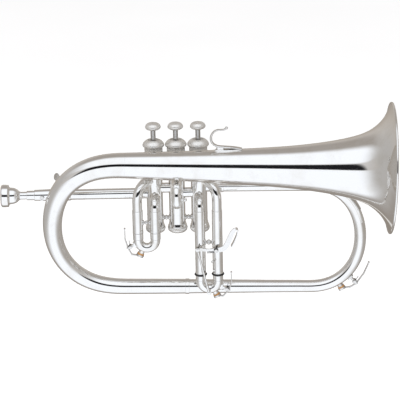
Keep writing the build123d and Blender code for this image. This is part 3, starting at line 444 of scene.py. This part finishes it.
p1 = np.linspace(path[-1], (108.0, -6.0, -107.1), 14)[1:]
r1 = np.linspace(rad[-1], 7.42, 14)[1:]
p2 = np.linspace((108.0, -6.0, -107.1), (9.75, -6.0, -105.08), 40)[1:]
r2 = np.linspace(7.42, 8.6, 40)[1:]
make("main_bow_skin", *outward(*tube(np.vstack([pre, path, p1, p2]), np.concatenate([prad, rad, r1, r2]), (0, 1, -0.0487), 0.6, 80)), SILVER, "horn", ["main_bow"])


def ring(x0, x1, r, ri, y, z0, z1, n=64):
    """ferrule with rolled edges"""
    o, e = Vector((x0, y, z0)), Vector((x1, y, z1))
    L = (e - o).length
    return lathe(soften([(0, ri), (0, r), (L, r), (L, ri)], 0.5, 5), o, e - o, n)


make("branch_ferrule_skin", *outward(*ring(7.6, 12.0, 9.25, 8.4, -6.0, -105.04, -105.13)), SILVER, "horn", ["branch_ferrule"])
make("exit_ferrule_skin", *outward(*ring(51.2, 54.4, 6.6, 5.6, 0.0, 16.02, 15.98)), SILVER, "horn", ["exit_ferrule"])
e0 = np.array((34.0, 0.0, 16.2))
e1 = np.array((117.2, 0.0, 15.35))
make("exit_tube_skin", *outward(*tube(np.linspace(e0, e1, 24), np.linspace(5.8, 6.0, 24), (0, 1, 0), 0.6, 64)), SILVER, "horn", ["exit_tube"])
make("leadpipe_skin", *outward(*tube(np.linspace((-132.0, 0, 10.0), (-34.0, 0, 10.0), 24), np.linspace(6.05, 6.3, 24), (0, 1, 0), 1.0, 64)), SILVER, "horn", ["leadpipe"])

# ------------------------------------------------------------ valves
PITCH, CAS_R = 26.0, 9.4
UP = (0, 0, 1)


def flutes(n, depth, lo, hi):
    def f(k, s, r, a):
        if lo <= s <= hi and r > 9.5:
            return r - depth * (0.5 - 0.5 * cos(n * a)) ** 0.8
        return r
    return f


for i, x in enumerate((-PITCH, 0.0, PITCH), 1):
    o = (x, 0, 0)
    prof = [(-31.0, 8.40), (-31.0, 11.1), (-30.0, 11.1)] + curve([(-30.0, 11.1), (-28.2, 10.35), (-25.6, 9.75), (-23.0, CAS_R)], 14)[1:]
    prof += [(-16.6, CAS_R), (-16.55, CAS_R + 0.16), (-15.95, CAS_R + 0.16), (-15.9, CAS_R)] + [(z, CAS_R) for z in range(-12, 66, 6)] + [(66.0, CAS_R), (66.0, 8.40)]
    make(f"valve_casing_{i}_skin", *outward(*lathe(prof, o, UP, 96)), SILVER, "horn", [f"valve_casing_{i}"])
    skirt = [(56.5, 9.42), (56.5, 10.0), (56.8, 10.3), (57.0, 10.5)] + [(57.2 + 0.5 * k, 10.55) for k in range(17)] + [(65.4, 10.5), (65.6, 10.25), (65.9, 10.2), (66.6, 10.9)]
    dome = curve([(66.6, 10.9), (67.2, 12.1), (68.4, 12.65), (70.0, 12.3), (71.8, 11.2), (73.4, 9.6), (74.5, 8.0)], 34)[1:]
    top = soften([(74.85, 7.2), (74.8, 6.4), (74.3, 5.9), (73.2, 5.65), (73.2, 3.2), (66.2, 3.2), (66.2, 9.42)], 0.2, 3)
    make(f"top_cap_{i}_skin", *outward(*lathe(skirt + dome + top, o, UP, 336, flutes(56, 0.42, 57.1, 65.3))), SILVER_CAP, "horn", [f"top_cap_{i}"], 50.0)
    bc = [(-27.0, 3.0), (-27.0, 8.25), (-31.05, 8.25), (-31.05, 11.0), (-31.3, 11.3), (-31.8, 11.55)] + [(-31.8 - 0.3 * k, 11.6) for k in range(1, 8)] + [(-34.2, 11.5)]
    bc += curve([(-34.2, 11.5), (-35.6, 10.9), (-37.6, 8.6), (-38.8, 5.0), (-39.3, 2.2)], 24)[1:] + [(-39.3, 1.2), (-30.0, 1.2), (-30.0, 3.0)]
    make(f"bottom_cap_{i}_skin", *outward(*lathe(bc, o, UP, 360, flutes(60, 0.42, -34.1, -31.6))), SILVER_CAP, "horn", [f"bottom_cap_{i}"], 50.0)
    bt = [(86.4, 2.92), (86.4, 3.6)] + curve([(86.4, 3.6), (86.9, 5.4), (87.8, 7.4), (89.0, 8.7), (90.2, 9.1), (91.5, 8.8), (93.0, 7.9), (94.3, 6.3), (94.95, 4.4), (95.15, 2.4), (95.2, 0.02)], 60)[1:]
    bt += [(88.4, 0.02), (88.4, 2.92)]
    make(f"finger_button_{i}_skin", *outward(*lathe(bt, o, UP, 96)), SILVER_CAP, f"valve_{i}", [f"finger_button_{i}"], 40.0)

# ------------------------------------------------------------ mouthpiece and shank
MX = -205.8
mp = [(0.6, 8.6)] + curve([(0.6, 8.6), (0.1, 9.8), (0.25, 11.6), (1.3, 12.85), (2.8, 13.25)], 22)[1:]
mp += soften([(8.0, 13.25), (8.9, 12.7), (9.3, 10.6), (10.2, 10.2), (10.6, 9.75)], 0.35, 4)
mp += curve([(10.6, 9.75), (12.5, 9.55), (14.6, 9.3), (17.2, 8.4), (19.4, 7.0), (21.2, 5.4), (22.2, 4.75)], 36)[1:]
mp += [(23.0, 4.5), (25.0, 4.46), (29.9, 4.45), (40.0, 4.45), (50.0, 4.45), (50.0, 3.4), (26.0, 2.3)]
mp += curve([(26.0, 2.3), (22.0, 2.6), (17.0, 5.4), (9.0, 7.6), (2.4, 8.4), (0.6, 8.6)], 40)[1:-1]
make("mouthpiece_skin", *outward(*lathe(mp, (MX, 0, 10.0), (1, 0, 0), 112)), SILVER, "mouthpiece", ["mouthpiece"])
sh = soften([(0, 4.62), (0, 5.35), (0.4, 5.5), (41.0, 5.5), (41.0, 4.75), (22.0, 4.55), (21.0, 4.62)], 0.15, 3)
make("tuning_shank_skin", *outward(*lathe(sh, (-175.6, 0, 10.0), (1, 0, 0), 80)), SILVER, "tuning_shank", ["tuning_shank"])

# ------------------------------------------------------------ seam rings where slide tubes and ferrules meet
def rings(name, body, items, ax=UP):
    parts = []
    for o, r in items:
        parts.append(outward(*lathe(soften([(-0.28, r - 0.5), (-0.28, r + 0.16), (0.28, r + 0.16), (0.28, r - 0.5)], 0.12, 2), o, ax, 72)))
    ob = make(name, *join(*parts), SILVER_KEY, body, [])
    return ob


rings("slide1_outer_seams", "horn", [((x, -21.5, z), 6.02) for x, z in ((-26.0, -5.2), (-46.2, -4.6))])
rings("slide3_outer_seams", "horn", [((x, -21.5, -6.2), 6.02) for x in (26.0, 46.2)])
rings("slide1_crook_seams", "slide_1", [((x, -21.5, z), r) for x in (-26.0, -46.2) for z, r in ((-31.9, 5.95), (-39.3, 5.85))])
rings("receiver_end_ring", "horn", [((-166.1, 0, 10.0), 6.2)], (1, 0, 0))
rings("slide3_crook_seams", "slide_3", [((x, -21.5, -91.8), 5.85) for x in (26.0, 46.2)])

# ------------------------------------------------------------ finishes of the remaining CAD pieces
replaced = {n for o in bpy.data.objects for n in o.get("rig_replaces", [])}
FIN = {}
for n in NODES:
    if n.startswith("piston"):
        FIN[n] = NICKEL
    elif "spring" in n:
        FIN[n] = STEEL
    elif n.endswith("cork"):
        FIN[n] = CORK
    elif n == "slide3_bumpers":
        FIN[n] = RUBBER
    elif n in ("key1_lever", "key3_lever", "bow_key_lever", "bow_key_mount", "trigger_post", "thumb_screw", "bow_guard", "receiver_guide_screws", "slide1_brace", "slide3_brace", "casing_braces"):
        FIN[n] = SILVER_KEY
    elif n in ("trigger_lever", "finger_hook", "trigger_rod"):
        FIN[n] = SILVER_FLAT
    else:
        FIN[n] = SILVER
for n, ob in NODES.items():
    if n in replaced:
        continue
    ob.data.materials.clear()
    ob.data.materials.append(FIN[n])
    for p in ob.data.polygons:
        p.material_index = 0

# ------------------------------------------------------------ floor and light
me = bpy.data.meshes.new("floor")
S = 9.0
me.from_pydata([(-S, -S, -0.42), (S, -S, -0.42), (S, S, -0.42), (-S, S, -0.42)], [], [(0, 1, 2, 3)])
floor = bpy.data.objects.new("floor", me)
bpy.context.scene.collection.objects.link(floor)
m, nt, b = tree("floor_paper")
n = noise(nt, 3.0, 4.0, 0.5, coords(nt))
nt.links.new(ramp(nt, n.outputs["Fac"], [(0.2, (0.90, 0.90, 0.90)), (0.8, (0.94, 0.94, 0.94))]), b.inputs["Base Color"])
b.inputs["Roughness"].default_value = 0.95
b.inputs["Specular IOR Level"].default_value = 0.0
b.inputs["Emission Color"].default_value = (1, 1, 1, 1)
b.inputs["Emission Strength"].default_value = 0.35
me.materials.append(m)
floor.visible_glossy = False

w = bpy.data.worlds.new("studio")
bpy.context.scene.world = w
w.use_nodes = True
nt = w.node_tree
bg = nt.nodes["Background"]
tc = nt.nodes.new("ShaderNodeTexCoord")
sp = nt.nodes.new("ShaderNodeSeparateXYZ")
nt.links.new(tc.outputs["Generated"], sp.inputs[0])


def ss(src, a, b_, lo=0.0, hi=1.0):
    q = nt.nodes.new("ShaderNodeMapRange")
    q.interpolation_type = "SMOOTHSTEP"
    q.inputs["From Min"].default_value = a
    q.inputs["From Max"].default_value = b_
    q.inputs["To Min"].default_value = lo
    q.inputs["To Max"].default_value = hi
    nt.links.new(src, q.inputs["Value"])
    return q.outputs["Result"]


def mul(a, b_, op="MULTIPLY"):
    q = nt.nodes.new("ShaderNodeMath")
    q.operation = op
    for i, s in enumerate((a, b_)):
        if isinstance(s, (int, float)):
            q.inputs[i].default_value = s
        else:
            nt.links.new(s, q.inputs[i])
    return q.outputs[0]


def mixc(fac, a, b_):
    q = nt.nodes.new("ShaderNodeMix")
    q.data_type = "RGBA"
    nt.links.new(fac, q.inputs["Factor"])
    for i, s in ((6, a), (7, b_)):
        if isinstance(s, tuple):
            q.inputs[i].default_value = (*s, 1.0)
        else:
            nt.links.new(s, q.inputs[i])
    return q.outputs[2]


X, Y, Z = sp.outputs
# the tent in front is bright, what lies beside and behind the object is a warm grey room
front = ss(Y, 0.30, -0.12)
back = mixc(ss(Z, 0.35, 0.75), (0.55, 0.52, 0.49), (0.37, 0.34, 0.315))
back = mixc(ss(Z, -0.05, -0.35), back, (0.36, 0.335, 0.315))
col = mixc(front, back, (1.00, 1.03, 1.08))
left = mul(X, -1.0)
col = mixc(ss(left, 0.42, 0.98), col, (0.45, 0.435, 0.42))
col = mixc(ss(X, 0.30, 0.92), col, (0.40, 0.375, 0.35))
# gap between the upper and lower halves of the tent, where the operator stands
wedge = mul(mul(ss(Z, 0.06, 0.16), ss(Z, 0.56, 0.46)), mul(ss(Y, -0.15, -0.45), 0.75))
col = mixc(wedge, col, (0.50, 0.475, 0.45))
slot = mul(mul(ss(Z, 0.11, 0.14), ss(Z, 0.49, 0.46)), ss(Y, -0.70, -0.82))
col = mixc(slot, col, (0.012, 0.012, 0.014))
nt.links.new(col, bg.inputs["Color"])
bg.inputs["Strength"].default_value = 1.0


def area(name, pos, at, size, power, colour=(1, 1, 1)):
    ld = bpy.data.lights.new(name, "AREA")
    ld.shape = "RECTANGLE"
    ld.size, ld.size_y = size
    ld.energy = power
    ld.color = colour
    ob = bpy.data.objects.new(name, ld)
    bpy.context.scene.collection.objects.link(ob)
    ob.location = pos
    ob.rotation_euler = (Vector(at) - Vector(pos)).to_track_quat("-Z", "Y").to_euler()
    ob.visible_glossy = False
    return ob


area("key", (-1.6, -1.8, 2.2), (0, 0, 0), (1.6, 1.6), 38, (1.0, 0.99, 0.97))
area("fill", (1.8, -1.2, 1.6), (0, 0, 0), (1.4, 1.4), 16, (0.95, 0.98, 1.0))
